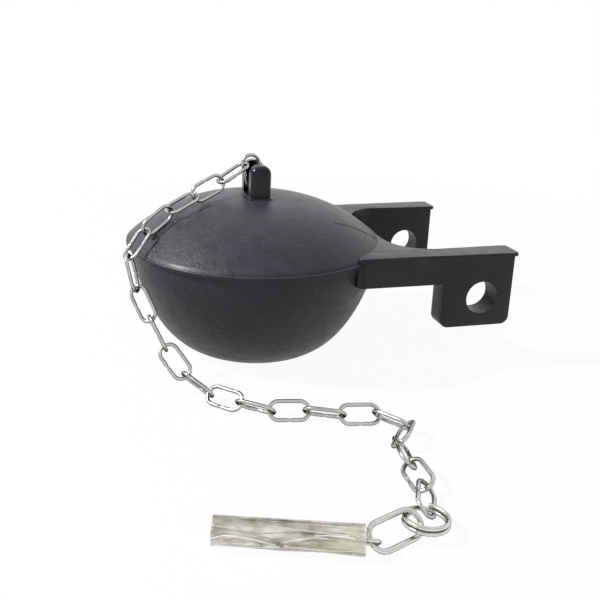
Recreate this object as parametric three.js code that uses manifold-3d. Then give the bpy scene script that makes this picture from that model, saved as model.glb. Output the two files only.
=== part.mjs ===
// Toilet flapper: a moulded rubber bulb flapper with two ear arms, its stainless lift chain laid over the
// dome and along the floor, and the split ring, loop, hook and clear sleeve at the chain's free end.
// Millimetres, +Z up; the arms point along +X. The pieces are laid out from the point on the floor below the
// middle of the bulb, and the whole group is then moved so that the middle of its footprint is the origin.
import * as THREE from 'three';
import { mergeVertices } from 'three/addons/utils/BufferGeometryUtils.js';
import Module from 'manifold-3d';

const wasm = await Module();
wasm.setup();
const V = (x, y, z) => new THREE.Vector3(x, y, z);
const rad = THREE.MathUtils.degToRad;

const middleX = 14.83; // of the whole footprint, from below the bulb's middle
const middleY = -33.18;

// Bulb: a dome on a bowl, hollow, open only through the drain hole in its flat foot.
const rimRadius = 38;
const rimHeight = 33.5; // the sealing rim above the floor
const rimEdge = 1.0; // upright edge of the rim's lip
const domeRise = 13.2;
const domePower = 2.55;
const bowlTop = 36.8; // radius just below the lip
const footRadius = 11.2;
const bowlBend = 1.4;
const bowlPower = 2.5;
const domeWall = 3.0;
const bowlWall = 2.6;
const drainRadius = 6.5;

// Chain tab on the dome.
const tabWidth = 6.0; // along X
const tabLength = 14.0; // along Y
const tabHeight = 9.5; // above the dome's middle
const tabRound = 2.6; // radius of its shoulders
const saddleLength = 6.8; // the thinned middle, along Y
const webThickness = 1.9;
const webHeight = 5.3; // above the dome's middle
const tabHoleRadius = 1.8;
const tabHoleHeight = 1.7; // its middle above the dome's middle

// Arms and ears.
const armSpread = 60.9; // over the outer faces
const armThickness = 6.5;
const armDepth = 8.6;
const armTop = 1.4; // above the rim
const earStart = 47.4;
const earEnd = 68.8;
const earDrop = 21.7; // from the arm's top face to the ear's lower edge
const earCorner = 2.4;
const earHoleRadius = 4.76;
const earHoleX = 59.5;
const earHoleDrop = 13.1; // from the arm's top face to the hole's middle
const lipThickness = 1.1; // thin top flange
const lipOverhang = 0.8;
const apronReach = -2.2; // web between the arms, past the rim
const apronThickness = 2.4;
const apronFillet = 14.0; // its corners, along the rim
const apronRun = 16.0; // and along the arms

// Chain.
const linkCount = 21;
const linkLength = 11.2;
const linkWidth = 5.9;
const linkWire = 1.0;
const chainGap = 0.05; // least, from the bulb
const linkPlay = 0.3;
const pitch = linkLength - 2 * linkWire - linkPlay;
const turnLink = 17; // the link before the sharp turn on the floor
const turnSlack = 0.4;
const firstLean = 12.5; // degrees, of the link that stands in the tab
const firstX = -1.15; // its middle
const firstRise = 6.65; // its middle above the dome

// Clasp at the chain's free end. Headings are in degrees from +X, seen from above.
const ringDiameter = 9.8;
const ringWire = 1.0;
const ringTurns = 1.86;
const ringStart = 110; // where its wire begins
const ringPlay = 0.04; // between its two turns
const ringTilt = [-4.7, 4.8];
const ringOffset = [-1.43, -3.14, 2.74]; // from the chain's end, and above the floor
const loopLength = 14.2;
const loopWidth = 6.8;
const loopWire = 1.2;
const loopTilt = 39; // its far side up
const loopPitch = 0.4;
const loopHeading = 21.5;
const loopOffset = [-7.3, -1.9, 2.75]; // from the ring's middle, and above the floor
const hookWire = 0.85;
const hookEye = 4.6; // outer diameter
const hookRoll = -45;
const hookShank = 6.4;
const eyeSlack = 0.3;
const sleeveLength = 29.0;
const sleeveWidth = 6.4;
const sleeveHeight = 5.9;
const sleeveWall = 0.6;
const sleeveHeading = 162.5;
const sleeveOffset = [-1.15, 0.5]; // its mouth from the loop's end

const rubber = new THREE.MeshStandardMaterial({ color: 0x2b2c31, roughness: 0.62, metalness: 0 });
const steel = new THREE.MeshStandardMaterial({ color: 0xc9c7c2, roughness: 0.24, metalness: 1 });
const vinyl = new THREE.MeshStandardMaterial({
  color: 0xe6e4d2, roughness: 0.18, metalness: 0, transparent: true, opacity: 0.5,
});

// Closed geometry into a solid, and back.
function solid(geometry) {
  const bare = geometry.clone();
  bare.deleteAttribute('normal');
  bare.deleteAttribute('uv');
  const merged = mergeVertices(bare, 1e-4);
  return new wasm.Manifold(new wasm.Mesh({
    numProp: 3,
    vertProperties: new Float32Array(merged.attributes.position.array),
    triVerts: new Uint32Array(merged.index.array),
  }));
}

function geometryOf(manifold) {
  const { vertProperties, triVerts } = manifold.getMesh();
  const geometry = new THREE.BufferGeometry();
  geometry.setAttribute('position', new THREE.BufferAttribute(vertProperties, 3));
  geometry.setIndex(new THREE.BufferAttribute(triVerts, 1));
  geometry.computeVertexNormals();
  return geometry;
}

function box(width, depth, height, x, y, z) {
  return solid(new THREE.BoxGeometry(width, depth, height).translate(x, y, z));
}

// A flat outline in the XZ plane, given as a Shape, made `thickness` thick along Y about y.
function plate(shape, thickness, y, curveSegments = 8) {
  const geometry = new THREE.ExtrudeGeometry(shape, { depth: thickness, bevelEnabled: false, curveSegments });
  return solid(geometry.translate(0, 0, -thickness / 2).rotateX(Math.PI / 2).translate(0, y, 0));
}

// Bulb profile: height of the dome at a radius, and radius of the bowl at a height.
function domeHeight(radius) {
  return rimHeight + domeRise * (1 - Math.min(radius / rimRadius, 1) ** domePower);
}

function bowlRadius(height) {
  const down = Math.max(0, rimHeight - rimEdge - height) / (rimHeight - rimEdge);
  return footRadius + (bowlTop - footRadius) * Math.max(0, 1 - down ** bowlBend) ** (1 / bowlPower);
}

// Turns a list of [radius, height] points about the Z axis.
function turned(points, segments) {
  return solid(new THREE.LatheGeometry(points.map(([r, z]) => new THREE.Vector2(r, z)), segments).rotateX(Math.PI / 2));
}

function bulbOuter() {
  const points = [[0, 0], [footRadius, 0]];
  const bowlSteps = 11;
  for (let i = 1; i <= bowlSteps; i++) {
    const height = (rimHeight - rimEdge) * (1 - Math.cos((i / bowlSteps) * Math.PI / 2));
    points.push([bowlRadius(height), height]);
  }
  points.push([rimRadius, rimHeight - rimEdge * 0.8], [rimRadius, rimHeight]);
  const domeSteps = 9;
  for (let i = domeSteps - 1; i > 0; i--) {
    const radius = rimRadius * Math.sin((i / domeSteps) * Math.PI / 2);
    points.push([radius, domeHeight(radius)]);
  }
  points.push([0, domeHeight(0)]);
  return turned(points, 56);
}

function bulbHollow() {
  const points = [[0, bowlWall], [footRadius - 1, bowlWall]];
  const steps = 8;
  const top = rimHeight - 1.5 * bowlWall;
  for (let i = 1; i <= steps; i++) {
    const height = bowlWall + (top - bowlWall) * (1 - Math.cos((i / steps) * Math.PI / 2));
    points.push([bowlRadius(height) - bowlWall, height]);
  }
  const inner = points[points.length - 1][0] - 1.2;
  for (let i = steps; i > 0; i--) {
    const radius = inner * Math.sin((i / steps) * Math.PI / 2);
    points.push([radius, domeHeight(radius) - domeWall]);
  }
  points.push([0, domeHeight(0) - domeWall]);
  return turned(points, 40);
}

// One arm with its ear, from inside the bulb wall to the ear's end; the outline is in XZ.
function armAndEar(side) {
  const top = rimHeight + armTop;
  const low = top - earDrop;
  const y = side * (armSpread - armThickness) / 2;
  const start = 22;
  const outline = new THREE.Shape();
  outline.moveTo(start, top - armDepth);
  outline.lineTo(earStart, top - armDepth);
  outline.lineTo(earStart, low + earCorner);
  outline.absarc(earStart + earCorner, low + earCorner, earCorner, Math.PI, 1.5 * Math.PI);
  outline.lineTo(earEnd - earCorner, low);
  outline.absarc(earEnd - earCorner, low + earCorner, earCorner, -Math.PI / 2, 0);
  outline.lineTo(earEnd, top);
  outline.lineTo(start, top);
  const hole = new THREE.Path();
  hole.absarc(earHoleX, top - earHoleDrop, earHoleRadius, 0, 2 * Math.PI, true);
  outline.holes.push(hole);
  const arm = plate(outline, armThickness, y, 10);
  const lip = new THREE.Shape();
  const edge = armThickness / 2 + lipOverhang;
  lip.moveTo(earStart - 6, -armThickness / 2);
  lip.lineTo(earEnd - 1, -edge);
  lip.absarc(earEnd + lipOverhang - 1, 1 - edge, 1, -Math.PI / 2, 0);
  lip.lineTo(earEnd + lipOverhang, edge - 1);
  lip.absarc(earEnd + lipOverhang - 1, edge - 1, 1, 0, Math.PI / 2);
  lip.lineTo(earStart - 6, armThickness / 2);
  const flange = new THREE.ExtrudeGeometry(lip, { depth: lipThickness, bevelEnabled: false, curveSegments: 3 });
  return arm.add(solid(flange.translate(0, y, top - lipThickness)));
}

// The thin web between the arms, just past the rim, with a round corner into each arm.
function apron() {
  const reach = rimRadius + apronReach;
  const inside = armSpread / 2 - armThickness + 0.5;
  const outline = new THREE.Shape();
  outline.moveTo(20, -inside);
  outline.lineTo(reach + apronRun, -inside);
  outline.quadraticCurveTo(reach, -inside, reach, -inside + apronFillet);
  outline.lineTo(reach, inside - apronFillet);
  outline.quadraticCurveTo(reach, inside, reach + apronRun, inside);
  outline.lineTo(20, inside);
  const geometry = new THREE.ExtrudeGeometry(outline, { depth: apronThickness, bevelEnabled: false, curveSegments: 6 });
  return solid(geometry.translate(0, 0, rimHeight + armTop - apronThickness));
}

// The chain tab: a round-topped bar along Y, thinned to a web in the middle, with a hole along X.
function chainTab() {
  const base = domeHeight(0);
  const root = domeHeight(tabLength / 2) - 1.5;
  const outline = new THREE.Shape();
  outline.moveTo(-tabWidth / 2, root);
  outline.lineTo(tabWidth / 2, root);
  outline.lineTo(tabWidth / 2, base + tabHeight - tabRound);
  outline.absarc(tabWidth / 2 - tabRound, base + tabHeight - tabRound, tabRound, 0, Math.PI / 2);
  outline.absarc(tabRound - tabWidth / 2, base + tabHeight - tabRound, tabRound, Math.PI / 2, Math.PI);
  const bar = plate(outline, tabLength, 0, 6);
  const sideCut = tabWidth / 2 - webThickness / 2;
  const cutX = webThickness / 2 + sideCut / 2 + 0.5;
  const tall = tabHeight + 1;
  const cutZ = base + tall / 2;
  return bar
    .subtract(box(sideCut + 1, saddleLength, tall, cutX, 0, cutZ))
    .subtract(box(sideCut + 1, saddleLength, tall, -cutX, 0, cutZ))
    .subtract(box(tabWidth, saddleLength, tabHeight, 0, 0, base + webHeight + tabHeight / 2));
}

function cylinderAlong(axis, radius, length, x, y, z, segments) {
  const geometry = new THREE.CylinderGeometry(radius, radius, length, segments);
  if (axis === 'x') geometry.rotateZ(Math.PI / 2);
  if (axis === 'z') geometry.rotateX(Math.PI / 2);
  return solid(geometry.translate(x, y, z));
}

function flapperBody() {
  return bulbOuter()
    .add(apron())
    .add(armAndEar(-1))
    .add(armAndEar(1))
    .add(chainTab())
    .subtract(bulbHollow())
    .subtract(cylinderAlong('z', drainRadius, 4 * bowlWall, 0, 0, bowlWall, 28))
    .subtract(cylinderAlong('x', tabHoleRadius, 2 * tabWidth, 0, 0, domeHeight(0) + tabHoleHeight, 16));
}

// An oval of wire in its own XY plane, long along X.
class Oval extends THREE.Curve {
  constructor(length, width) {
    super();
    this.straight = Math.max(length - width, 0);
    this.radius = width / 2;
  }

  getPoint(t, target = V(0, 0, 0)) {
    const arc = Math.PI * this.radius;
    const total = 2 * (this.straight + arc);
    let s = (t % 1) * total;
    const half = this.straight / 2;
    if (s < this.straight) return target.set(half - s, this.radius, 0);
    s -= this.straight;
    if (s < arc) {
      const a = Math.PI / 2 + s / this.radius;
      return target.set(-half + this.radius * Math.cos(a), this.radius * Math.sin(a), 0);
    }
    s -= arc;
    if (s < this.straight) return target.set(-half + s, -this.radius, 0);
    s -= this.straight;
    const a = -Math.PI / 2 + s / this.radius;
    return target.set(half + this.radius * Math.cos(a), this.radius * Math.sin(a), 0);
  }
}

function wireOval(length, width, wire, steps, sides) {
  return new THREE.TubeGeometry(new Oval(length - wire, width - wire), steps, wire / 2, sides, true);
}

// A round wire along an open curve, closed at both ends.
function openWire(curve, wire, steps, sides) {
  const section = new THREE.Shape();
  section.absarc(0, 0, wire / 2, 0, 2 * Math.PI);
  return new THREE.ExtrudeGeometry(section, {
    steps, extrudePath: curve, curveSegments: sides / 2, bevelEnabled: false,
  });
}

const flapper = new THREE.Group();

function put(name, geometry, material, parent = flapper) {
  const mesh = new THREE.Mesh(geometry, material);
  mesh.name = name;
  parent.add(mesh);
  return mesh;
}

put('flapper_body', geometryOf(flapperBody()), rubber);

// Chain route: where neighbouring links meet, from the tab over the dome and the rim, down in the air in
// front of the bowl, and along the floor. Links on the floor lie rolled by 45 degrees, on one leg each.
const floorRide = (linkWidth - linkWire) / 2 * Math.SQRT1_2 + linkWire / 2 + 0.06;
const around = (radius, angle, z) => V(radius * Math.cos(rad(angle)), radius * Math.sin(rad(angle)), z);
const overDome = (share, angle, gap) => around(share * rimRadius, angle, domeHeight(share * rimRadius) + gap);
const pastRim = (angle, out, up) => around(rimRadius + out, angle, rimHeight + up);
const landing = around(rimRadius + 4, 242.3375, floorRide);
const onFloor = (x, y) => V(x, y, 0).add(landing);
const route = [
  V(-3.5, 0.2, domeHeight(0) + 8.75),
  overDome(0.295206, 191.3099, 5.2),
  overDome(0.509331, 193.749, 3.5),
  overDome(0.724048, 195.6021, 3.5),
  overDome(0.915547, 197.3933, 3.8),
  pastRim(200.6, 3.3, -0.2),
  pastRim(206.5, 3.2, -8.2),
  pastRim(213.8, 2.4, -15.3),
  pastRim(221.6, 2.2, -22.3),
  pastRim(230.8, 2.0, -28.5),
  onFloor(0, 0),
  onFloor(6.5, -6.1),
  onFloor(13.5, -11.4),
  onFloor(22.2, -12.8),
  onFloor(30.3, -16.5),
  onFloor(39.0, -17.8),
  onFloor(43.9, -25.0),
  onFloor(38.6, -32.1),
  onFloor(37.5, -40.9),
  onFloor(37.3, -49.7),
  onFloor(33.3, -57.6),
  onFloor(29.1, -65.4),
];

// Walks along the route: each meeting point is one pitch, in a straight line, from the one before. The two
// links on either side of the sharp turn reach a little further into each other.
function walk(points, count) {
  const samples = new THREE.CatmullRomCurve3(points).getSpacedPoints(4000);
  const found = [samples[0].clone()];
  let k = 0;
  while (found.length < count) {
    const last = found[found.length - 1];
    const atTurn = found.length === turnLink - 1 || found.length === turnLink;
    const step = pitch - (atTurn ? turnSlack : 0);
    while (k < samples.length - 2 && samples[k + 1].distanceTo(last) < step) k++;
    const before = samples[k].distanceTo(last);
    const after = samples[k + 1].distanceTo(last);
    found.push(samples[k].clone().lerp(samples[k + 1], (step - before) / (after - before)));
    k++;
  }
  return found;
}

// How each link is turned about its own length, in degrees from lying flat; positive turns its upper face
// to the left of the chain's run. The links on the floor stand on one leg.
const linkRoll = [
  0, 0, 85, 10, -80, -7, 45, -75, 50, -45,
  50, -45, 45, -45, 45, -45, 47, -47, 45, -37, 44,
];

function placeAlong(mesh, from, to, roll) {
  const along = to.clone().sub(from).normalize();
  const normal = V(0, 0, 1).addScaledVector(along, -along.z).normalize();
  normal.applyAxisAngle(along, -rad(roll));
  const side = normal.clone().cross(along);
  mesh.quaternion.setFromRotationMatrix(new THREE.Matrix4().makeBasis(along, side, normal));
  mesh.position.copy(from).lerp(to, 0.5);
}

// Points along the middle of a link's wire.
const ovalPoints = [];
for (let i = -8; i <= 8; i++) {
  const along = i / 8 * (linkLength - linkWidth) / 2;
  for (const side of [-1, 1]) ovalPoints.push([along, side * (linkWidth - linkWire) / 2]);
}
for (const end of [-1, 1]) {
  for (let turn = -75; turn <= 75; turn += 15) {
    const reach = (linkWidth - linkWire) / 2;
    ovalPoints.push([
      end * ((linkLength - linkWidth) / 2 + reach * Math.cos(rad(turn))), reach * Math.sin(rad(turn))]);
  }
}

// The bulb's outline, and how far a point is outside it.
const outline = [];
for (let i = 0; i <= 24; i++) outline.push([rimRadius * i / 24, domeHeight(rimRadius * i / 24)]);
for (let i = 0; i <= 24; i++) {
  const height = (rimHeight - rimEdge) * (1 - i / 24);
  outline.push([i ? bowlRadius(height) : rimRadius, height]);
}

function outsideBulb(point) {
  const radius = Math.hypot(point.x, point.y);
  let least = Infinity;
  for (let i = 1; i < outline.length; i++) {
    const [[fromR, fromZ], [toR, toZ]] = [outline[i - 1], outline[i]];
    const [runR, runZ] = [toR - fromR, toZ - fromZ];
    const t = ((radius - fromR) * runR + (point.z - fromZ) * runZ) / (runR * runR + runZ * runZ);
    const [offR, offZ] = [fromR, fromZ].map((start, k) =>
      [radius, point.z][k] - start - [runR, runZ][k] * Math.min(Math.max(t, 0), 1));
    const distance = Math.hypot(offR, offZ) * (offZ * runR - offR * runZ < 0 ? -1 : 1);
    if (Math.abs(distance) < Math.abs(least)) least = distance;
  }
  return least;
}

// Lays the chain along the route. Where a link would come closer to the bulb than the chain's gap, the
// route is moved out there and walked again.
function meetings(count) {
  const points = route.map((point) => point.clone());
  const leg = new THREE.Object3D();
  for (let round = 0; round < 30; round++) {
    const found = walk(points, count);
    let clear = true;
    for (let i = 2; i < Math.min(12, count); i++) {
      placeAlong(leg, found[i - 1], found[i], linkRoll[i]);
      leg.updateMatrix();
      let gap = Infinity;
      for (const [along, across] of ovalPoints) {
        gap = Math.min(gap, outsideBulb(V(along, across, 0).applyMatrix4(leg.matrix)) - linkWire / 2);
      }
      if (gap >= chainGap) continue;
      clear = false;
      const outward = V(leg.position.x, leg.position.y, rimRadius / 2).normalize();
      for (const point of points) {
        const near = Math.exp(-((point.distanceTo(leg.position) / linkLength) ** 2));
        if (point.z > linkWidth) point.addScaledVector(outward, (chainGap - gap + 0.02) * near);
      }
    }
    if (clear) return found;
  }
  return walk(points, count);
}

const linkShape = wireOval(linkLength, linkWidth, linkWire, 24, 6);
const meets = meetings(linkCount);

// The first link stands in the saddle of the tab, through its hole, and leans towards the second.
const first = put('chain_link_01', linkShape, steel);
first.rotation.set(Math.PI / 2, rad(-90 - firstLean), 0, 'YXZ');
first.position.set(firstX, 0, domeHeight(0) + firstRise);

for (let i = 1; i < linkCount; i++) {
  const link = put(`chain_link_${String(i + 1).padStart(2, '0')}`, linkShape, steel);
  placeAlong(link, meets[i - 1], meets[i], linkRoll[i]);
}

// Split ring: two turns of wire, tipped so that its back edge rides on the last link.
class Coil extends THREE.Curve {
  getPoint(t, target = V(0, 0, 0)) {
    const angle = t * ringTurns * 2 * Math.PI + rad(ringStart);
    const radius = (ringDiameter - ringWire) / 2;
    const rise = (t - 0.5) * ringTurns * (ringWire + ringPlay);
    return target.set(radius * Math.cos(angle), radius * Math.sin(angle), rise);
  }
}

const chainEnd = meets[linkCount - 1];
const heading = (angle, distance) => V(distance * Math.cos(rad(angle)), distance * Math.sin(rad(angle)), 0);
const ring = put('split_ring', openWire(new Coil(), ringWire, 44, 8), steel);
ring.rotation.set(rad(ringTilt[0]), rad(ringTilt[1]), 0);
ring.position.set(chainEnd.x + ringOffset[0], chainEnd.y + ringOffset[1], ringOffset[2]);

// Loop: its near side lies on the floor under the ring, its far side is over the ring.
const loop = put('clasp_loop', wireOval(loopLength, loopWidth, loopWire, 32, 8), steel);
loop.rotation.set(rad(loopTilt), rad(loopPitch), rad(loopHeading), 'ZYX');
loop.position.set(ring.position.x + loopOffset[0], ring.position.y + loopOffset[1], loopOffset[2]);

// Hook: an eye round the loop's end, and a wavy shank inside the sleeve.
const eyeRadius = (hookEye - hookWire) / 2;
const loopEnd = V((loopWire - loopLength) / 2, 0, 0).applyEuler(loop.rotation).add(loop.position);
const eyePoints = [];
const eyeSteps = 10;
for (let i = 0; i <= eyeSteps; i++) {
  const angle = rad(-32 - (i / eyeSteps) * 290);
  eyePoints.push(V(eyeRadius * Math.cos(angle), 0, eyeRadius * Math.sin(angle)));
}
const hookPath = new THREE.CatmullRomCurve3([
  ...eyePoints,
  V(eyeRadius + 1.2, 0, 0.3),
  V(eyeRadius + 2.6, 0, -0.1),
  V(eyeRadius + hookShank * 0.7, 0, 0.3),
  V(eyeRadius + hookShank, 0, -0.5),
]);
const hook = put('wire_hook', openWire(hookPath, hookWire, 40, 8), steel);
hook.rotation.set(rad(hookRoll), 0, rad(sleeveHeading), 'ZYX');
hook.position.copy(loopEnd).add(heading(sleeveHeading, eyeSlack));

// Clear sleeve pushed over the hook's shank: a slightly flattened tube.
function ovalPath(width, height, clockwise, path) {
  path.absellipse(0, 0, width / 2, height / 2, 0, 2 * Math.PI, clockwise);
  return path;
}

const sleeveSection = ovalPath(sleeveHeight, sleeveWidth, false, new THREE.Shape());
sleeveSection.holes.push(ovalPath(sleeveHeight - 2 * sleeveWall, sleeveWidth - 2 * sleeveWall, true, new THREE.Path()));
const sleeveTube = new THREE.ExtrudeGeometry(sleeveSection, {
  depth: sleeveLength, bevelEnabled: false, curveSegments: 12,
});
const sleeve = put('clear_sleeve', sleeveTube.rotateY(Math.PI / 2), vinyl);
sleeve.rotation.set(0, 0, rad(sleeveHeading));
sleeve.position.set(loopEnd.x + sleeveOffset[0], loopEnd.y + sleeveOffset[1], sleeveHeight / 2 + 0.05);

flapper.position.set(-middleX, -middleY, 0);
export default flapper;
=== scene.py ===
import math

import bmesh
import bpy
from mathutils import Matrix, Vector


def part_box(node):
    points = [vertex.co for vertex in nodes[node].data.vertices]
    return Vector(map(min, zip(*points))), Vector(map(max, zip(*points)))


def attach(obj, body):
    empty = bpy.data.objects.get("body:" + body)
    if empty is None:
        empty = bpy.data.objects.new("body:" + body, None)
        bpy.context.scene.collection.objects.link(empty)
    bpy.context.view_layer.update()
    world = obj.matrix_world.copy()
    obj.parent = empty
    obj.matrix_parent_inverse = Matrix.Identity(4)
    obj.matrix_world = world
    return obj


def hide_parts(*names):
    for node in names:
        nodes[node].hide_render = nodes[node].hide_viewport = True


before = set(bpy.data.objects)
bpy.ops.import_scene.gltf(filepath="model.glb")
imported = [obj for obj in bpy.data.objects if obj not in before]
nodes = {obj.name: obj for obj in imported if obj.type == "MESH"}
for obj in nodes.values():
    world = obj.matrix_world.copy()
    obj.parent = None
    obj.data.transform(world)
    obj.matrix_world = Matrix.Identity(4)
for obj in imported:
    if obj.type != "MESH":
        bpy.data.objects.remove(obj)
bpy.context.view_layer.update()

# Where the flapper stands, and the camera
# The flapper stands on the small flat foot of its bulb, on a pale table. The camera looks down on it from
# the front and a little from the left, close by, so the chain's end on the table looks large.
MM = 0.001
BULB = Vector((-14.83, 33.18, 0)) * MM  # the point on the floor below the middle of the bulb
AIM_HEIGHT, CAMERA_DISTANCE = 33.5 * MM, 235 * MM  # the rim's height, and how far off the camera is
PHOTO_WIDTH, PIXELS_PER_RADIAN = 600, 785
SHIFT_RIGHT, SHIFT_UP = 45.3, -63.1  # pixels of the photograph
SENSOR_WIDTH = 36

camera_data = bpy.data.cameras.new("camera")
camera = bpy.data.objects.new("camera", camera_data)
bpy.context.scene.collection.objects.link(camera)
bpy.context.scene.camera = camera
turn, rise, roll = math.radians(-13.8), math.radians(16.15), math.radians(1.55)
back = Vector((math.sin(turn) * math.cos(rise), -math.cos(turn) * math.cos(rise), math.sin(rise)))
level = Vector((math.cos(turn), math.sin(turn), 0))
upright = back.cross(level)
camera_right = level * math.cos(roll) + upright * math.sin(roll)
camera_up = upright * math.cos(roll) - level * math.sin(roll)
seat = Matrix((camera_right, camera_up, back)).transposed().to_4x4()
seat.translation = BULB + Vector((0, 0, AIM_HEIGHT)) + back * CAMERA_DISTANCE
camera.matrix_world = seat
camera_data.sensor_width = SENSOR_WIDTH
camera_data.lens = PIXELS_PER_RADIAN / PHOTO_WIDTH * SENSOR_WIDTH
camera_data.shift_x = SHIFT_RIGHT / PHOTO_WIDTH
camera_data.shift_y = SHIFT_UP / PHOTO_WIDTH
camera_data.clip_start, camera_data.clip_end = 0.01, 20

# Table and light
# A smooth white table top under a pale room: a small lamp on the left throws the chain's thin shadows on
# the dome and the bowl, and a broad soft one fills in from the front.
TABLE_SIZE = 8
SHADOWS_TO, WHITE_FROM, WHITE_SHARE = 0.1, 0.34, 0.95  # the table fades to plain white between the two radii
ROOM_COLOUR, ROOM_STRENGTH = (0.90, 0.94, 1.0, 1), 0.16
LAMP_AIM = Vector((0, 0, 0.02))
bpy.context.scene.view_settings.view_transform = "Standard"


class Value:
    """An output socket of a material, with Python's operators for the number that it gives."""

    def __init__(self, finish, socket):
        self.finish, self.socket = finish, socket

    def math(self, operation, other, turned=False):
        pair = (other, self) if turned else (self, other)
        return self.finish.node("ShaderNodeMath", {"operation": operation}, pair)

    def __add__(self, other):
        return self.math("ADD", other)

    def __sub__(self, other):
        return self.math("SUBTRACT", other)

    def __mul__(self, other):
        return self.math("MULTIPLY", other)

    def __rsub__(self, other):
        return self.math("SUBTRACT", other, turned=True)

    __radd__ = __add__
    __rmul__ = __mul__

    def part(self, name):
        """Another output of the same node."""
        return Value(self.finish, self.socket.node.outputs[name])


class Finish:
    """The nodes of a material, or of the world: node() adds one and gives its first output."""

    def __init__(self, owner):
        owner.use_nodes = True
        self.material = owner
        self.tree = owner.node_tree
        self.shader = next(n for n in self.tree.nodes if n.type in ("BSDF_PRINCIPLED", "BACKGROUND"))
        self.output = next(n for n in self.tree.nodes if n.type in ("OUTPUT_MATERIAL", "OUTPUT_WORLD"))

    def connect(self, value, socket):
        if isinstance(value, Value):
            self.tree.links.new(value.socket, socket)
        else:
            socket.default_value = value

    def node(self, kind, settings=None, sockets=()):
        made = self.tree.nodes.new(kind)
        for name, setting in (settings or {}).items():
            if name == "stops":
                for i, (place, colour) in enumerate(setting):
                    stop = made.color_ramp.elements[i] if i < 2 else made.color_ramp.elements.new(place)
                    stop.position, stop.color = place, colour
            else:
                setattr(made, name, setting)
        pairs = sockets.items() if isinstance(sockets, dict) else enumerate(sockets)
        for key, value in pairs:
            self.connect(value, made.inputs[key])
        return Value(self, made.outputs[0])

    def place(self, scale=(1, 1, 1)):
        here = self.node("ShaderNodeTexCoord").part("Object")
        return self.node("ShaderNodeMapping", {}, {"Vector": here, "Scale": scale})

    def facing(self):
        """How far the surface faces up: 1 on a level top, 0 on a wall and -1 underneath."""
        normal = self.node("ShaderNodeNewGeometry").part("Normal")
        return self.node("ShaderNodeSeparateXYZ", {}, (normal,)).part("Z")

    def noise(self, size_mm, detail, roughness=0.55, where=None):
        return self.node("ShaderNodeTexNoise", {}, {
            "Vector": where or self.place(), "Scale": 1 / (size_mm * MM),
            "Detail": detail, "Roughness": roughness})

    def fade(self, value, low, high, to_low=0, to_high=1):
        """A smooth step from to_low to to_high, while the value goes from low to high."""
        return self.node("ShaderNodeMapRange", {"interpolation_type": "SMOOTHSTEP"},
                         (value, low, high, to_low, to_high))

    def mix(self, factor, first, second):
        made = self.tree.nodes.new("ShaderNodeMix")
        made.data_type = "RGBA"
        for key, value in (("Factor_Float", factor), ("A_Color", first), ("B_Color", second)):
            self.connect(value, next(s for s in made.inputs if s.identifier == key))
        return Value(self, next(s for s in made.outputs if s.identifier == "Result_Color"))

    def set(self, **sockets):
        for name, value in sockets.items():
            self.connect(value, self.shader.inputs[name.replace("_", " ")])

    def bump(self, height, distance_mm, strength=1.0):
        self.set(Normal=self.node("ShaderNodeBump", {}, {
            "Height": height, "Distance": distance_mm * MM, "Strength": strength}))

    def cover(self, piece):
        """Gives the piece this finish and no other."""
        piece.data.materials.clear()
        piece.data.materials.append(self.material)


def grey(shade):
    return (shade, shade, shade, 1)


def seen_white(finish, share, glossy=1.0):
    """Mixes in plain white for what the camera, metal and clear plastic see of a surface."""
    rays = finish.node("ShaderNodeLightPath")
    seen = rays.math("MAXIMUM", rays.part("Is Transmission Ray"))
    seen = seen.math("MAXIMUM", rays.part("Is Glossy Ray") * glossy)
    kind = "ShaderNodeBackground" if finish.shader.type == "BACKGROUND" else "ShaderNodeEmission"
    white = finish.node(kind, {}, {"Color": grey(1)})
    lit = Value(finish, finish.shader.outputs[0])
    mixed = finish.node("ShaderNodeMixShader", {}, (seen * share, lit, white))
    finish.connect(mixed, finish.output.inputs["Surface"])


bpy.ops.object.select_all(action="DESELECT")
bpy.ops.mesh.primitive_plane_add(size=TABLE_SIZE, location=(0, 0, 0))
table = bpy.context.object
table.name = "table"
table_white = Finish(bpy.data.materials.new("table white"))
table_white.set(Base_Color=grey(0.88), Roughness=0.75)
from_middle = table_white.node(
    "ShaderNodeVectorMath", {"operation": "LENGTH"}, (table_white.place(),)).part("Value")
seen_white(table_white, table_white.fade(from_middle, SHADOWS_TO, WHITE_FROM, WHITE_SHARE, 1.0))
table_white.cover(table)

# What shines sees a room that is brightest behind the flapper and on its right.
bpy.context.scene.world = bpy.data.worlds.new("pale room")
room = Finish(bpy.context.scene.world)
room.set(Color=ROOM_COLOUR, Strength=ROOM_STRENGTH)
looking = room.node("ShaderNodeSeparateXYZ", {}, (room.node("ShaderNodeTexCoord"),))
bright_side = looking.part("Y") * 0.85 + looking.part("X") * 0.5 - looking.part("Z") * 0.35
seen_white(room, 1.0, room.fade(bright_side, -0.7, 0.7, 0.42, 1.0))


def lamp(name, place, size, watts, colour=(1, 1, 1)):
    """A square lamp, turned to the middle of the flapper and its chain."""
    light = bpy.data.lights.new(name, "AREA")
    light.size, light.energy, light.color = size, watts, colour
    made = bpy.data.objects.new(name, light)
    bpy.context.scene.collection.objects.link(made)
    made.location = place
    made.rotation_mode = "QUATERNION"
    made.rotation_quaternion = (Vector(place) - LAMP_AIM).to_track_quat("Z", "Y")


lamp("lamp on the left", (-0.66, 0.05, 0.56), size=0.03, watts=9.5, colour=(1, 0.985, 0.97))
lamp("soft lamp in front", (0.15, -0.9, 0.7), size=0.9, watts=0.8)

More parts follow.
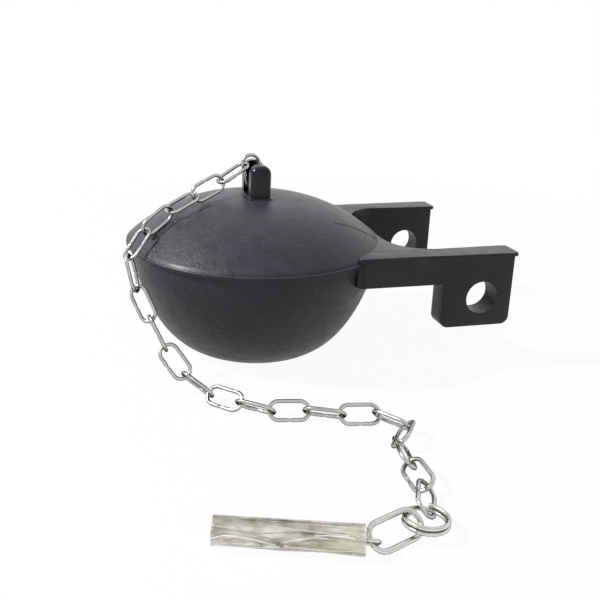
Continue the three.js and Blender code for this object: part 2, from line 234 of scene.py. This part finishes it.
# Bulb
# The float and stopper: a hollow bulb of black rubber, moulded in one shot with the arms and the chain tab.
# Its shallow dome meets the deep bowl at a thin sealing lip, and a drain hole opens through the small foot.
RIM_RADIUS, RIM_HEIGHT, RIM_EDGE = 38, 33.5, 1.0
DOME_RISE, DOME_POWER, DOME_INSET = 13.2, 2.55, 0.9
BOWL_TOP, BOWL_BEND, BOWL_POWER = 36.8, 1.4, 2.5
FOOT_RADIUS, FOOT_EDGE, FOOT_BEND, DRAIN_RADIUS = 11.2, 0.35, 0.4, 6.5
# The sealing lip's section: out from the rim's radius, and up from its height.
LIP_SECTION = ((-0.95, -0.98), (-0.22, -0.86), (0, -0.66), (0, -0.12), (-0.1, 0), (-0.45, 0.1))
WALL_DOME, WALL_BOWL, INNER_FOOT, INNER_CORNER = 3.0, 2.6, 1, 1.2
BOWL_STEPS, DOME_STEPS, INNER_STEPS = 40, 34, 16
# The rubber's dark and pale tones, and a paler bluish one painted on what faces up as the light falling
# there.
RUBBER_DARK, RUBBER_PALE, RUBBER_TOP_LIGHT = (0.008, 0.008, 0.0108), (0.018, 0.018, 0.0235), (0.038, 0.0405, 0.051)
DUST = (0.36, 0.36, 0.37, 1)


def dome_height(radius):
    return RIM_HEIGHT + DOME_RISE * (1 - min(radius / RIM_RADIUS, 1) ** DOME_POWER)


def bowl_radius(height):
    down = max(0, RIM_HEIGHT - RIM_EDGE - height) / (RIM_HEIGHT - RIM_EDGE)
    return FOOT_RADIUS + (BOWL_TOP - FOOT_RADIUS) * max(0, 1 - down**BOWL_BEND) ** (1 / BOWL_POWER)


def draw(name, points):
    """Draws a line by extruding one corner of a plane from point to point, and stays in edit mode."""
    bpy.ops.object.select_all(action="DESELECT")
    bpy.ops.mesh.primitive_plane_add(size=MM, location=(0, 0, 0))
    line = bpy.context.object
    line.name = name
    bpy.ops.object.mode_set(mode="EDIT")
    shape = bmesh.from_edit_mesh(line.data)
    bmesh.ops.delete(shape, geom=list(shape.verts)[1:], context="VERTS")
    shape.verts.ensure_lookup_table()
    shape.verts[0].co = Vector(points[0]) * MM
    shape.verts[0].select = True
    bmesh.update_edit_mesh(line.data)
    for before, after in zip(points, points[1:]):
        step = (Vector(after) - Vector(before)) * MM
        bpy.ops.mesh.extrude_region_move(TRANSFORM_OT_translate={"value": step})
    return line


def select_only(piece):
    bpy.ops.object.select_all(action="DESELECT")
    piece.select_set(True)
    bpy.context.view_layer.objects.active = piece


def merge_doubles():
    """Opens the active piece's mesh, and merges the points that lie on each other."""
    bpy.ops.object.mode_set(mode="EDIT")
    bpy.ops.mesh.select_all(action="SELECT")
    bpy.ops.mesh.remove_doubles(threshold=0.01 * MM)


def done(piece, angle, finish, move=BULB):
    """Cleans the active piece's mesh, puts it in its place, shades it and gives it its finish."""
    merge_doubles()
    bpy.ops.mesh.normals_make_consistent(inside=False)
    bpy.ops.object.mode_set(mode="OBJECT")
    piece.data.transform(Matrix.Translation(move))
    select_only(piece)
    bpy.ops.object.shade_smooth_by_angle(angle=math.radians(angle))
    finish.cover(piece)
    return piece


def spun(name, section, steps, angle, finish):
    """Spins a section about the bulb's upright middle line."""
    piece = draw(name, section)
    bpy.ops.mesh.select_all(action="SELECT")
    bpy.ops.mesh.spin(steps=steps, angle=2 * math.pi, center=(0, 0, 0), axis=(0, 0, 1))
    return done(piece, angle, finish)


def rubber(name, tone, blue=1.0, gloss=1.0, relief=1.0):
    """Matt black moulded rubber: a fine grain, faint flow marks, painted light on the tops, and specks."""
    finish = Finish(bpy.data.materials.new(name))
    dark, pale, painted_top_light = ((red * tone, green * tone, bluish * tone * blue, 1)
                        for red, green, bluish in (RUBBER_DARK, RUBBER_PALE, RUBBER_TOP_LIGHT))
    broad = finish.noise(24, detail=2)
    cloud = finish.noise(4, detail=5, roughness=0.7)
    flow = finish.noise(1.1, detail=4, roughness=0.65, where=finish.place((0.3, 1.5, 1.5)))
    speck = finish.noise(0.5, detail=2, roughness=0.5)
    body = finish.mix(finish.fade(broad * 0.35 + cloud * 0.3 + flow * 0.35, 0.38, 0.62), dark, pale)
    patchy = finish.fade(broad * 0.3 + cloud * 0.35 + flow * 0.35, 0.38, 0.62, 0.35, 1.0)
    # What faces up gets a thin coat, and a paler tone that is painted light.
    upward = finish.fade(finish.facing(), 0.3, 0.97)
    with_top_light = finish.mix(upward * patchy, body, painted_top_light)
    dusty = finish.fade(speck, 0.71, 0.77) * finish.fade(cloud, 0.48, 0.6)
    finish.set(Base_Color=finish.mix(dusty * 0.45, with_top_light, DUST), IOR=1.5, Specular_IOR_Level=0.30,
               Coat_Weight=upward * 0.3, Coat_Roughness=0.3,
               Roughness=finish.fade(cloud, 0.3, 0.7, 0.32 * gloss, 0.46 * gloss))
    grain = finish.noise(0.42, detail=2, roughness=0.6)
    pebble = finish.noise(1.4, detail=2, roughness=0.5)
    finish.bump(grain * 0.4 + flow * 0.25 + pebble * 0.35, distance_mm=0.32 * relief)
    return finish


bulb_rubber = rubber("bulb rubber", tone=1.05, blue=1.1, gloss=1.1)
outer_skin = [(DRAIN_RADIUS, 0, 0), (FOOT_RADIUS - FOOT_EDGE, 0, 0), (FOOT_RADIUS, 0, FOOT_BEND / 2)]
for i in range(1, BOWL_STEPS + 1):
    height = (RIM_HEIGHT - RIM_EDGE) * (1 - math.cos(i / BOWL_STEPS * math.pi / 2))
    if height > FOOT_BEND:
        outer_skin.append((bowl_radius(height), 0, height))
outer_skin += [(RIM_RADIUS + out, 0, RIM_HEIGHT + up) for out, up in LIP_SECTION]
for i in range(DOME_STEPS - 1, -1, -1):
    radius = (RIM_RADIUS - DOME_INSET) * math.sin(i / DOME_STEPS * math.pi / 2)
    outer_skin.append((radius, 0, dome_height(radius)))
bulb = spun("bulb", outer_skin, steps=160, angle=28, finish=bulb_rubber)

# The inner skin, seen only through the drain hole. Its faces look into the hollow.
inner_skin = [(DRAIN_RADIUS, 0, 0), (DRAIN_RADIUS, 0, WALL_BOWL), (FOOT_RADIUS - INNER_FOOT, 0, WALL_BOWL)]
inner_top = RIM_HEIGHT - 1.5 * WALL_BOWL
for i in range(1, INNER_STEPS + 1):
    height = WALL_BOWL + (inner_top - WALL_BOWL) * (1 - math.cos(i / INNER_STEPS * math.pi / 2))
    inner_skin.append((bowl_radius(height) - WALL_BOWL, 0, height))
inner_radius = inner_skin[-1][0] - INNER_CORNER
for i in range(INNER_STEPS, -1, -1):
    radius = inner_radius * math.sin(i / INNER_STEPS * math.pi / 2)
    inner_skin.append((radius, 0, dome_height(radius) - WALL_DOME))
bulb_inside = spun("bulb_inside", inner_skin, steps=72, angle=40, finish=bulb_rubber)
bpy.ops.object.mode_set(mode="EDIT")
bpy.ops.mesh.select_all(action="SELECT")
bpy.ops.mesh.flip_normals()
bpy.ops.object.mode_set(mode="OBJECT")
select_only(bulb)
bulb_inside.select_set(True)
bpy.ops.object.join()
merge_doubles()
bpy.ops.object.mode_set(mode="OBJECT")
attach(bulb, "flapper")
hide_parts("flapper_body")

# Arms and ears
# Two flat arms run back from the bulb's sides, each ending in a deep ear with a round hole for the valve's
# peg. They are the same rubber, in a darker tone that is painted shade, with a thin flange along the top
# where the two halves of the mould met.
ARM_SPREAD, ARM_THICKNESS, ARM_DEPTH, ARM_EDGE = 60.9, 6.5, 8.6, 0.35
ARM_ROOT, ARM_CORNER, ARM_TOP = 22, 1.2, RIM_HEIGHT + 1.4
EAR_START, EAR_END, EAR_DROP, EAR_CORNER = 47.4, 68.8, 21.7, 2.4
EAR_HOLE_RADIUS, EAR_HOLE_X, EAR_HOLE_Z = 4.76, 59.5, ARM_TOP - 13.1
FLANGE_THICKNESS, FLANGE_OVERHANG, FLANGE_RUN, FLANGE_EDGE = 1.1, 0.8, 8, 0.25
FLANGE_CORNER, FLANGE_CUT = 1, 0.3
# The cut corner at each arm's root: places along the arm, and shares of half the spread of the arms.
ROOT_CUT = ((20, 1.02), (24.8, 1.02), (23.6, 0.992), (22.3, 0.965), (20, 0.955))
ROOT_CUT_BELOW, ROOT_CUT_HEIGHT = 1, ARM_DEPTH - 0.4


def arc(x, z, radius, start, end, steps, y):
    """Points of an arc in an upright plane, between two angles in degrees."""
    for i in range(steps + 1):
        angle = math.radians(start + (end - start) * i / steps)
        yield (x + radius * math.cos(angle), y, z + radius * math.sin(angle))


def slab(name, outline, push, edge_mm, segments=3, angle=40):
    """A flat outline, filled, pushed to its thickness, with rounded edges."""
    piece = draw(name, outline)
    bpy.ops.mesh.select_all(action="SELECT")
    bpy.ops.mesh.edge_face_add()
    bpy.ops.mesh.select_all(action="SELECT")
    bpy.ops.mesh.extrude_region_move(TRANSFORM_OT_translate={"value": Vector(push) * MM})
    bpy.ops.mesh.select_all(action="SELECT")
    bpy.ops.mesh.normals_make_consistent(inside=False)
    bpy.ops.object.mode_set(mode="OBJECT")
    if edge_mm:
        edge = piece.modifiers.new("edge", "BEVEL")
        edge.width, edge.segments, edge.limit_method = edge_mm * MM, segments, "ANGLE"
        edge.angle_limit = math.radians(angle)
        bpy.ops.object.modifier_apply(modifier="edge")
    return piece


def combine(piece, other, operation):
    """Cuts or joins another object into a piece, and takes the other away."""
    select_only(piece)
    cut = piece.modifiers.new("cut", "BOOLEAN")
    cut.operation, cut.object, cut.solver = operation, other, "EXACT"
    bpy.ops.object.modifier_apply(modifier="cut")
    bpy.data.objects.remove(other)


def drill(piece, place, radius, depth, rotation, sides):
    """Cuts a round hole through a piece."""
    bpy.ops.object.select_all(action="DESELECT")
    bpy.ops.mesh.primitive_cylinder_add(vertices=sides, radius=radius * MM, depth=depth * MM,
                                        rotation=rotation, location=Vector(place) * MM)
    combine(piece, bpy.context.object, "DIFFERENCE")


# A darker copy of the bulb's rubber, for the arms and the web: painted shade.
arm_rubber = rubber("arm rubber", tone=0.9)
arm_bottom, ear_bottom = ARM_TOP - ARM_DEPTH, ARM_TOP - EAR_DROP
flange_end, flange_half = EAR_END + FLANGE_OVERHANG, ARM_THICKNESS / 2 + FLANGE_OVERHANG
flange_side = [(EAR_START - FLANGE_RUN, ARM_THICKNESS / 2), (EAR_END - FLANGE_CORNER, flange_half),
               (flange_end - FLANGE_CUT, flange_half - FLANGE_CUT), (flange_end, flange_half - FLANGE_CORNER)]
for side, name in ((-1, "near_arm"), (1, "far_arm")):
    outer_face = side * ARM_SPREAD / 2
    middle = side * (ARM_SPREAD - ARM_THICKNESS) / 2
    low_face = outer_face - (0 if side < 0 else ARM_THICKNESS)
    outline = [(ARM_ROOT, low_face, arm_bottom)]
    outline += arc(EAR_START - ARM_CORNER, arm_bottom - ARM_CORNER, ARM_CORNER, 90, 0, 4, low_face)
    outline += arc(EAR_START + EAR_CORNER, ear_bottom + EAR_CORNER, EAR_CORNER, 180, 270, 7, low_face)
    outline += arc(EAR_END - EAR_CORNER, ear_bottom + EAR_CORNER, EAR_CORNER, 270, 360, 7, low_face)
    outline += [(EAR_END, low_face, ARM_TOP), (ARM_ROOT, low_face, ARM_TOP)]
    arm = slab(name, outline, (0, ARM_THICKNESS, 0), ARM_EDGE)
    drill(arm, (EAR_HOLE_X, outer_face, EAR_HOLE_Z), EAR_HOLE_RADIUS,
          depth=20, rotation=(math.pi / 2, 0, 0), sides=64)
    root_cut = [(x, outer_face * share, arm_bottom - ROOT_CUT_BELOW) for x, share in ROOT_CUT]
    combine(arm, slab(name + "_corner", root_cut, (0, 0, ROOT_CUT_HEIGHT), 0), "DIFFERENCE")
    flange = [(x, middle - across, ARM_TOP - FLANGE_THICKNESS) for x, across in flange_side]
    flange += [(x, middle + across, ARM_TOP - FLANGE_THICKNESS) for x, across in reversed(flange_side)]
    combine(arm, slab(name + "_flange", flange, (0, 0, FLANGE_THICKNESS), FLANGE_EDGE, segments=2), "UNION")
    done(arm, angle=30, finish=arm_rubber)
    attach(arm, "flapper")
    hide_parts("flapper_body")

# Web between the arms
# A thin web of rubber fills the round corner between the rim and each arm, and its two ends meet inside
# the dome. It is part of the same moulding, and level with the tops of the arms.
TIE_START, TIE_REACH, TIE_THICKNESS, TIE_EDGE = 20, RIM_RADIUS - 2.2, 2.4, 0.3
TIE_CORNER, TIE_RUN, TIE_STEPS = 14.0, 16.0, 16
tie_half = ARM_SPREAD / 2 - ARM_THICKNESS + 0.5  # it runs half a millimetre into each arm
corner = [(TIE_REACH + TIE_RUN * (1 - i / TIE_STEPS) ** 2, tie_half - TIE_CORNER * (i / TIE_STEPS) ** 2)
          for i in range(TIE_STEPS + 1)]
tie_side = [(TIE_START, tie_half)] + corner
web = [(x, -y, ARM_TOP - TIE_THICKNESS) for x, y in tie_side]
web += [(x, y, ARM_TOP - TIE_THICKNESS) for x, y in reversed(tie_side)]
tie = slab("web_between_arms", web, (0, 0, TIE_THICKNESS), TIE_EDGE)
done(tie, angle=30, finish=arm_rubber)
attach(tie, "flapper")
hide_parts("flapper_body")

# Chain tab
# A stout block stands on the dome, moulded with it, on a low skirt. Its middle is thinned to a web with a
# hole through it, and the chain's first link stands astride that web.
TAB_WIDTH, TAB_LENGTH, TAB_HEIGHT, TAB_ROUND, TAB_EDGE = 6.0, 14.0, 9.5, 2.6, 1.5
SADDLE_LENGTH, WEB_THICKNESS, WEB_HEIGHT, CUT_ROOM = 6.8, 1.9, 5.3, 1
TAB_HOLE_RADIUS, TAB_HOLE_HEIGHT = 1.8, 1.7
SKIRT_OVERHANG, SKIRT_FOOT, SKIRT_HEIGHT, SKIRT_EDGE = 0.35, 1, 1.15, 0.3
crown = dome_height(0)
root = dome_height(TAB_LENGTH / 2) - 1.5
front = -TAB_LENGTH / 2
round_middle, round_height = TAB_WIDTH / 2 - TAB_ROUND, crown + TAB_HEIGHT - TAB_ROUND
block = [(-TAB_WIDTH / 2, front, root), (TAB_WIDTH / 2, front, root)]
block += arc(round_middle, round_height, TAB_ROUND, 0, 90, 8, front)
block += arc(-round_middle, round_height, TAB_ROUND, 90, 180, 8, front)
tab = slab("chain_tab", block, (0, TAB_LENGTH, 0), TAB_EDGE, segments=6, angle=50)
beside_web = (TAB_WIDTH - WEB_THICKNESS) / 2
cuts = [((beside_web + CUT_ROOM, SADDLE_LENGTH, TAB_HEIGHT + CUT_ROOM),
         (side * (TAB_WIDTH + WEB_THICKNESS + 2 * CUT_ROOM) / 4, 0, crown + (TAB_HEIGHT + CUT_ROOM) / 2))
        for side in (-1, 1)]
cuts.append(((TAB_WIDTH, SADDLE_LENGTH, TAB_HEIGHT), (0, 0, crown + WEB_HEIGHT + TAB_HEIGHT / 2)))
for size, place in cuts:
    bpy.ops.object.select_all(action="DESELECT")
    bpy.ops.mesh.primitive_cube_add(size=1, location=Vector(place) * MM)
    bpy.context.object.scale = Vector(size) * MM
    bpy.ops.object.transform_apply(location=False, rotation=False, scale=True)
    combine(tab, bpy.context.object, "DIFFERENCE")
drill(tab, (0, 0, crown + TAB_HOLE_HEIGHT), TAB_HOLE_RADIUS,
      depth=3 * TAB_WIDTH, rotation=(0, math.pi / 2, 0), sides=40)
skirt = [(x * (TAB_WIDTH / 2 + SKIRT_OVERHANG), y * (TAB_LENGTH / 2 + SKIRT_OVERHANG), crown - SKIRT_FOOT)
         for x, y in ((-1, -1), (1, -1), (1, 1), (-1, 1))]
combine(tab, slab("tab_skirt", skirt, (0, 0, SKIRT_HEIGHT), SKIRT_EDGE, segments=2), "UNION")
# The tab's rubber is a much darker copy of the bulb's: painted shade.
done(tab, angle=35, finish=rubber("tab rubber", tone=0.6, blue=1.2, gloss=0.5, relief=0.3))
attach(tab, "flapper")
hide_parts("flapper_body")

# Mould line
# The fine raised line that the mould left on the dome, in the same rubber. It starts on the open dome,
# runs out nearly to the rim, turns sharply and follows the rim to the near arm's root.
SEAM = ((18.83, -17.5), (22.24, -16.45), (25.75, -15.31), (29.28, -14.39), (32.6, -13.4), (34.4, -14.3),
        (33.9, -16.4), (32.14, -19.08), (28.82, -23.97), (26.6, -26.6))
SEAM_RADIUS, SEAM_SINK = 0.13, 0.02


def bead(name, points, radius, finish, move=BULB):
    """A thin round ridge along a line of points."""
    ridge = draw(name, points)
    bpy.ops.object.mode_set(mode="OBJECT")
    bpy.ops.object.convert(target="CURVE")
    ridge.data.bevel_depth, ridge.data.bevel_resolution = radius * MM, 2
    ridge.data.use_fill_caps = True
    bpy.ops.object.convert(target="MESH")
    return done(ridge, angle=60, finish=finish, move=move)


seam_points = [(x, y, dome_height(math.hypot(x, y)) - SEAM_SINK) for x, y in SEAM]
seam = bead("mould_line", seam_points, SEAM_RADIUS, bulb_rubber)
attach(seam, "flapper")
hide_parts("flapper_body")

# Chain
# A lift chain of bright stainless wire. Each link is one bent length of wire closed to a butt joint in the
# middle of a leg, and each lies where its plain solid does.
LINK_LENGTH, LINK_WIDTH, LINK_WIRE = 11.2, 5.9, 1.0
JOINT_REACH, JOINT_PINCH = 0.2, 0.7
SETTLING_STEPS = 200
WIRE_DULL, WIRE_BRIGHT, WIRE_PAINTED_SHADE = (0.66, 0.64, 0.61), (0.93, 0.92, 0.90), (0.13, 0.12, 0.11)


def wire_steel(name, tone, shade_to):
    """Drawn stainless wire, finely scratched, a little dull in places, with painted shade on what faces down.
    """
    finish = Finish(bpy.data.materials.new(name))
    dull, bright, shade = ((red * tone, green * tone, blue * tone, 1)
                           for red, green, blue in (WIRE_DULL, WIRE_BRIGHT, WIRE_PAINTED_SHADE))
    patch = finish.noise(2.2, detail=3, roughness=0.6)
    scratch = finish.noise(0.3, detail=4, roughness=0.7)
    # Painted shade: what faces down is darkened towards the shade colour.
    upper = finish.fade(finish.facing(), -0.7, shade_to)
    finish.set(Base_Color=finish.mix(upper, shade, finish.mix(patch, dull, bright)), Metallic=1.0,
               Roughness=finish.fade(patch, 0.3, 0.7, 0.14, 0.28), Specular_Tint=grey(0.08))
    finish.bump(scratch, distance_mm=0.05, strength=0.5)
    return finish


link_steel = wire_steel("link wire", tone=0.9, shade_to=0.45)
leg = (LINK_WIDTH - LINK_WIRE) / 2 * MM
stretch = (LINK_LENGTH - LINK_WIDTH) / 2 * MM
bpy.ops.object.select_all(action="DESELECT")
bpy.ops.mesh.primitive_torus_add(
    major_segments=48, minor_segments=14, major_radius=leg, minor_radius=LINK_WIRE / 2 * MM,
    location=(0, 0, 0))
pattern_link = bpy.context.object

# The torus is parted across its middle, its halves drawn out, and the legs filled with rings of vertices.
bpy.ops.object.mode_set(mode="EDIT")
shape = bmesh.from_edit_mesh(pattern_link.data)
for vertex in shape.verts:
    if abs(vertex.co.x) > 1e-6:
        vertex.co.x += math.copysign(stretch, vertex.co.x)
for edge in shape.edges:
    edge.select = abs(edge.verts[0].co.x - edge.verts[1].co.x) > stretch * 0.6
bmesh.update_edit_mesh(pattern_link.data)
bpy.ops.mesh.subdivide(number_cuts=3, quadcorner="STRAIGHT_CUT")
shape = bmesh.from_edit_mesh(pattern_link.data)
for vertex in shape.verts:
    if vertex.co.y > 0 and abs(vertex.co.x) < JOINT_REACH * MM:  # the butt joint, pinched in a little
        vertex.co.y = leg + (vertex.co.y - leg) * JOINT_PINCH
        vertex.co.z *= JOINT_PINCH
bmesh.update_edit_mesh(pattern_link.data)
bpy.ops.object.mode_set(mode="OBJECT")
bpy.ops.object.shade_smooth_by_angle(angle=math.radians(60))
link_steel.cover(pattern_link)


def lie_of(node):
    """Where an oval's plain solid lies: its middle, its long, short and thin directions.

    Each direction is what a first guess settles on, turned again and again by the points' spread.
    """
    points = [v.co.copy() for v in nodes[node].data.vertices]
    unique = list({tuple(round(c, 6) for c in p) for p in points})
    middle = sum((Vector(p) for p in unique), Vector()) / len(unique)
    spread = Matrix(((0,) * 3,) * 3)
    for p in unique:
        d = Vector(p) - middle
        for i in range(3):
            for j in range(3):
                spread[i][j] += d[i] * d[j] * 1e6
    axes = []
    for _ in range(2):
        axis = Vector((0.61, 0.53, 0.59))
        for _ in range(SETTLING_STEPS):
            axis = spread @ axis
            for found in axes:
                axis -= found * axis.dot(found)
            axis.normalize()
        axes.append(axis)
    return middle, axes[0], axes[1], axes[0].cross(axes[1])


link_nodes = sorted(n for n in nodes if n.startswith("chain_link_"))
for number, node in enumerate(link_nodes):
    middle, long_axis, short_axis, thin_axis = lie_of(node)
    if number % 2:
        short_axis, thin_axis = -short_axis, -thin_axis
    link = pattern_link.copy()
    link.data = pattern_link.data.copy()
    link.name = "link_" + node[-2:]
    bpy.context.scene.collection.objects.link(link)
    lie = Matrix((long_axis, short_axis, thin_axis)).transposed().to_4x4()
    lie.translation = middle
    link.data.transform(lie)
    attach(link, "link_" + node[-2:])
    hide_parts(node)
bpy.data.objects.remove(pattern_link)

# Clasp
# At the chain's free end a split ring of nearly two turns holds a long wire loop, and the loop holds the
# eye of a bent wire hook. All are bright stainless wire: the loop's is a little thicker than the chain's,
# and the hook's a little thinner.
clasp_steel = wire_steel("clasp wire", tone=1.0, shade_to=0.15)


def smooth_wire(node, name, body):
    """The plain solid of a wire, with its doubles merged and its section made round."""
    wire = nodes[node].copy()
    wire.data = nodes[node].data.copy()
    wire.name = name
    wire.parent = None
    for key in list(wire.keys()):
        del wire[key]
    bpy.context.scene.collection.objects.link(wire)
    select_only(wire)
    merge_doubles()
    bpy.ops.object.mode_set(mode="OBJECT")
    round_off = wire.modifiers.new("round", "SUBSURF")
    round_off.levels = round_off.render_levels = 1
    bpy.ops.object.modifier_apply(modifier="round")
    bpy.ops.object.shade_smooth_by_angle(angle=math.radians(50))
    clasp_steel.cover(wire)
    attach(wire, body)
    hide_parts(node)


smooth_wire("split_ring", "split_ring_wire", "ring")
smooth_wire("clasp_loop", "clasp_loop_wire", "loop")
smooth_wire("wire_hook", "hook_wire", "hook")

# Clear sleeve
# A length of soft clear vinyl tube is pushed over the hook. It has yellowed a little at its mouth, and it
# is creased and dented where it has been bent, with white highlights painted along the creases.
SLEEVE_LENGTH, SLEEVE_WIDTH, SLEEVE_HEIGHT, SLEEVE_WALL = 29.0, 6.4, 5.9, 0.6
SLEEVE_NARROWING, SLEEVE_INSET, MOUTH_REACH = 0.12, 0.02, 0.1
RINGS, AROUND = 120, 96
low_corner, high_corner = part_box("clear_sleeve")
sleeve_turn = math.radians(162.5)
sleeve_along = Vector((math.cos(sleeve_turn), math.sin(sleeve_turn), 0))
sleeve_side = Vector((0, 0, 1)).cross(sleeve_along)
sleeve_middle = (Vector(low_corner) + Vector(high_corner)) / 2
sleeve_mouth = sleeve_middle - sleeve_along * SLEEVE_LENGTH / 2 * MM

CLEAR, CLOUDY, BROWNED = (0.98, 0.975, 0.95, 1), (0.74, 0.72, 0.65, 1), (0.26, 0.22, 0.18, 1)
YELLOWED = (0.88, 0.84, 0.64, 1)
vinyl = Finish(bpy.data.materials.new("clear vinyl"))
lengthwise = vinyl.node("ShaderNodeMapping", {}, {
    "Vector": vinyl.node("ShaderNodeTexCoord").part("Object"), "Rotation": (0, 0, -sleeve_turn)})
stretched = vinyl.node("ShaderNodeMapping", {}, {"Vector": lengthwise, "Scale": (0.16, 1, 1)})
streak = vinyl.noise(1.5, detail=4, roughness=0.6, where=stretched)
cloudy = vinyl.noise(4, detail=3, roughness=0.6)
streaked = streak * 0.7 + cloudy * 0.3
tint = vinyl.node(
    "ShaderNodeValToRGB", {"stops": ((0.34, BROWNED), (0.48, CLOUDY), (0.58, CLEAR))}, (streaked,))
spot = vinyl.node("ShaderNodeSeparateXYZ", {}, (lengthwise,))
from_mouth = spot.part("X") - sleeve_mouth.dot(sleeve_along)
near_mouth = vinyl.fade(from_mouth, 4 * MM, 15 * MM, 1, 0)
near_table = vinyl.fade(spot.part("Z"), 1 * MM, 3.4 * MM, 1, 0)
vinyl.set(Base_Color=vinyl.mix(near_mouth * near_table * 0.75, tint, YELLOWED), IOR=1.45,
          Roughness=vinyl.fade(cloudy, 0.3, 0.7, 0.05, 0.13), Transmission_Weight=0.88)
vinyl.bump(streaked, distance_mm=0.3, strength=0.6)

# The folds, as lines of points along and around the tube (millimetres and degrees), with depth and width.
FOLDS = (
    (0.95, 11, ((29.5, 172), (24.2, 154), (18.7, 180), (17.2, 192), (14.1, 160), (9.7, 140), (4, 140))),
    (0.55, 13, ((29, 118), (20, 128), (12, 112), (3, 104))),
    (0.55, 10, ((12, 136), (7, 126), (1, 136))),
    (0.40, 16, ((29, 240), (16, 226), (8, 240), (0, 222))),
    (0.45, 18, ((29, 20), (18, 4), (7, 30), (0, 12))),
    (0.35, 14, ((26, 300), (14, 318), (3, 296))),
)
SOFT_SIDE, STEEP_SIDE, DENT_POWER, DEEPEST = 1.9, 0.55, 1.3, 1.25
FOLD_END, DEEP_AT_MOUTH, DEEP_AT_TAIL = 3, 0.15, 0.4  # a fold fades over 3 mm at both ends


def dent_at(along, around):
    """How far the wall is pushed in: a soft hollow above each fold's line, and a steep wall below it."""
    total = 0
    for depth, width, line in FOLDS:
        if not line[-1][0] <= along <= line[0][0]:
            continue
        for (far, far_turn), (near, near_turn) in zip(line, line[1:]):
            if near <= along <= far:
                middle = near_turn + (far_turn - near_turn) * (along - near) / (far - near)
                gap = (around - middle + 180) % 360 - 180
                fading = min(1, (along - line[-1][0]) / FOLD_END + DEEP_AT_MOUTH,
                             (line[0][0] - along) / FOLD_END + DEEP_AT_TAIL)
                side_width = width * (SOFT_SIDE if gap < 0 else STEEP_SIDE)
                total += depth * fading * math.exp(-abs(gap / side_width) ** DENT_POWER)
                break
    return min(total, DEEPEST)


def on_sleeve(along, around):
    """The point of the tube's outer skin at a place along and around it."""
    narrow = SLEEVE_NARROWING * along / SLEEVE_LENGTH
    inset = SLEEVE_INSET + dent_at(along, around) + narrow
    angle = math.radians(around)
    reached = along - MOUTH_REACH * (1 - along / SLEEVE_LENGTH)  # the mouth reaches up to the loop
    return (sleeve_mouth + sleeve_along * reached * MM
            - sleeve_side * (SLEEVE_WIDTH / 2 - inset) * math.cos(angle) * MM
            + Vector((0, 0, (SLEEVE_HEIGHT / 2 - inset) * math.sin(angle) - narrow)) * MM)


bpy.ops.object.select_all(action="DESELECT")
bpy.ops.mesh.primitive_cylinder_add(
    vertices=AROUND, radius=1, depth=1, end_fill_type="NOTHING", location=(0, 0, 0))
sleeve = bpy.context.object
sleeve.name = "vinyl_sleeve"
bpy.ops.object.mode_set(mode="EDIT")
shape = bmesh.from_edit_mesh(sleeve.data)
for edge in shape.edges:
    edge.select = abs(edge.verts[0].co.z - edge.verts[1].co.z) > 0.5
bmesh.update_edit_mesh(sleeve.data)
bpy.ops.mesh.subdivide(number_cuts=RINGS - 1, quadcorner="STRAIGHT_CUT")
shape = bmesh.from_edit_mesh(sleeve.data)
for vertex in shape.verts:
    around = math.degrees(math.atan2(vertex.co.y, vertex.co.x)) % 360
    vertex.co = on_sleeve((vertex.co.z + 0.5) * SLEEVE_LENGTH, around)
bmesh.update_edit_mesh(sleeve.data)

# The skin's faces look outwards before the wall gets its thickness.
bpy.ops.mesh.select_all(action="SELECT")
shape = bmesh.from_edit_mesh(sleeve.data)
shape.faces.ensure_lookup_table()
first_face = shape.faces[0]
first_face.normal_update()
away = first_face.calc_center_median() - sleeve_mouth
away -= sleeve_along * away.dot(sleeve_along)
if first_face.normal.dot(away) < 0:
    bpy.ops.mesh.flip_normals()
bpy.ops.object.mode_set(mode="OBJECT")
wall = sleeve.modifiers.new("wall", "SOLIDIFY")
wall.thickness, wall.offset, wall.use_rim = SLEEVE_WALL * MM, -1, True
bpy.ops.object.modifier_apply(modifier="wall")
bpy.ops.object.shade_smooth_by_angle(angle=math.radians(50))
vinyl.cover(sleeve)

# Thin raised lines on the steep side of the folds, coloured white as painted highlights: each
# line's radius, and its points along and around the tube.
CREASE_HIGHLIGHTS = (
    (0.18, ((28.9, 171), (26.6, 160), (24.2, 156), (21, 168), (18.7, 180), (17.2, 191), (16.2, 184))),
    (0.10, ((15.8, 176), (14.1, 160), (9.7, 141), (6.5, 140))),
    (0.15, ((9.5, 133), (7, 127), (4, 130), (1.5, 136))),
    (0.09, ((18, 105), (12, 112), (6, 118), (2.5, 126))),
)
CREASE_BELOW, CREASE_STEP = 4, 0.5
# Near-white glossy vinyl for the painted highlights along the creases.
crease_highlight = Finish(bpy.data.materials.new("painted crease highlight"))
crease_highlight.set(Base_Color=(0.90, 0.90, 0.87, 1), Roughness=0.12, Coat_Weight=0.6)
crease_highlights = []
for number, (radius, line) in enumerate(CREASE_HIGHLIGHTS):
    points = []
    for (far, far_turn), (near, near_turn) in zip(line, line[1:]):
        steps = max(2, round((far - near) / CREASE_STEP))
        for i in range(steps):
            share = i / steps
            around = far_turn + (near_turn - far_turn) * share + CREASE_BELOW
            points.append(on_sleeve(far + (near - far) * share, around) / MM)
    crease_highlights.append(bead("crease_%d" % (number + 1), points, radius, crease_highlight, Vector()))

for piece in [sleeve] + crease_highlights:
    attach(piece, "hook")
    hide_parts("clear_sleeve")
